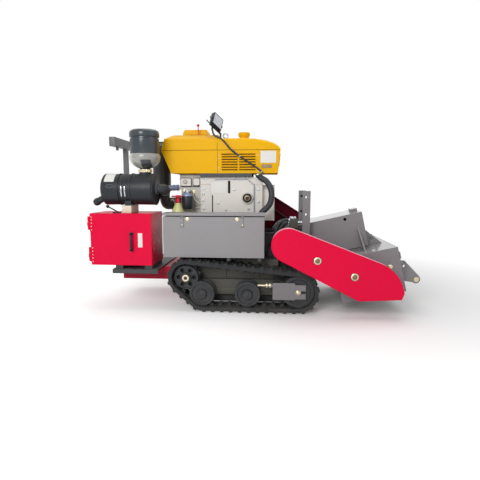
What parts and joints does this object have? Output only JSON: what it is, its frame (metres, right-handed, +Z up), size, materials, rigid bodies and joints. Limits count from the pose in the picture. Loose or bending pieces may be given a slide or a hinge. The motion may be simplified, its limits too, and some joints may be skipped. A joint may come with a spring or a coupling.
{
  "type": "tracked cold planer milling machine",
  "caption": "Small tracked road milling machine: a single-cylinder diesel over rubber tracks, with a belt and chain driven milling drum in a lifting head.",
  "frame": {"origin": "on the ground under the middle of the overall box", "axes": "+X towards the milling drum, -Y the side with the drive guard, +Z up"},
  "size_m": [2.6366, 1.1, 1.6002],
  "materials": {
    "crimson_paint": "gloss",
    "yellow_paint": "gloss",
    "grey_paint": "satin",
    "engine_paint": "satin",
    "dark_paint": "satin",
    "cast_iron": "matte",
    "track_rubber": "matte",
    "hose_rubber": "satin",
    "black_plastic": "satin",
    "smoked_plastic": "gloss",
    "cream_plastic": "matte",
    "bottle_plastic": "satin",
    "cap_plastic": "satin",
    "zinc_steel": "satin",
    "drum_steel": "matte",
    "rod_chrome": "polished"
  },
  "bodies": {
    "chassis": {"chassis_frame": "dark_paint", "tail_frame": "crimson_paint", "operator_platform": "dark_paint", "handrail": "grey_paint", "lift_posts": "dark_paint", "engine_rails": "dark_paint", "track_near": "track_rubber", "track_far": "track_rubber", "track_frame_near": "grey_paint", "track_frame_far": "grey_paint", "sprocket_near": "cast_iron", "sprocket_far": "cast_iron", "road_wheels_near": "cast_iron", "road_wheels_far": "cast_iron", "idler_near": "cast_iron", "idler_far": "cast_iron", "cabinet_body": "crimson_paint", "valve_lever": "zinc_steel", "toolbox_shelf": "dark_paint", "toolbox_body": "grey_paint", "engine_block": "engine_paint", "cylinder_head": "engine_paint", "flywheel": "cast_iron", "jackshaft": "zinc_steel", "v_belts": "hose_rubber", "belt_guard": "crimson_paint", "hood_cradle": "dark_paint", "radiator_shroud": "yellow_paint", "radiator_core": "dark_paint", "water_tank": "yellow_paint", "level_float": "cap_plastic", "fuel_tank": "yellow_paint", "fuel_cap": "yellow_paint", "lifting_eye": "zinc_steel", "muffler": "dark_paint", "air_cleaner": "black_plastic", "cleaner_saddle": "cream_plastic", "precleaner_bowl": "smoked_plastic", "intake_hose": "hose_rubber", "fuel_filter": "dark_paint", "fluid_bottle": "bottle_plastic", "bottle_cap": "cap_plastic", "work_lamp": "dark_paint", "lamp_lens": "smoked_plastic", "lamp_cable": "hose_rubber", "hose_bundle": "hose_rubber", "lift_valve": "zinc_steel", "lift_hoses": "hose_rubber"},
    "cabinet_door": {"cabinet_door": "crimson_paint"},
    "toolbox_lid": {"toolbox_lid": "grey_paint"},
    "head": {"head_frame": "grey_paint", "drum_housing": "grey_paint", "push_arms": "grey_paint", "cross_pin": "zinc_steel", "drive_guard": "crimson_paint"},
    "drum": {"milling_drum": "drum_steel"},
    "lift_barrel": {"lift_barrel": "dark_paint"},
    "lift_rod": {"lift_rod": "rod_chrome"}
  },
  "joints": [
    {"name": "cabinet_door_hinge", "type": "hinge", "parent": "chassis", "child": "cabinet_door", "pos_m": [-1.306, -0.441, 0.5], "axis": [0, 0, -1], "range_deg": [0, 110]},
    {"name": "toolbox_lid_hinge", "type": "hinge", "parent": "chassis", "child": "toolbox_lid", "pos_m": [-0.32, -0.268, 0.753], "axis": [-1, 0, 0], "range_deg": [0, 85]},
    {"name": "head_lift", "type": "hinge", "parent": "chassis", "child": "head", "pos_m": [0.26, 0.05, 0.548], "axis": [0, -1, 0], "range_deg": [-10, 6]},
    {"name": "drum_spin", "type": "hinge", "parent": "head", "child": "drum", "pos_m": [0.97949, 0.05, 0.24282], "axis": [0, 1, 0], "continuous": true},
    {"name": "lift_swing", "type": "hinge", "parent": "chassis", "child": "lift_barrel", "pos_m": [0.235, 0.05, 0.3], "axis": [0, -1, 0], "range_deg": [-8, 5]},
    {"name": "lift_slide", "type": "slide", "parent": "lift_barrel", "child": "lift_rod", "axis": [0.9712, 0, 0.2384], "range_m": [-0.044, 0.027]}
  ],
  "couplings": [
    {"joint": "lift_swing", "follows": "head_lift", "ratio": 0.785},
    {"joint": "lift_slide", "follows": "head_lift", "m_per_rad": 0.236}
  ]
}
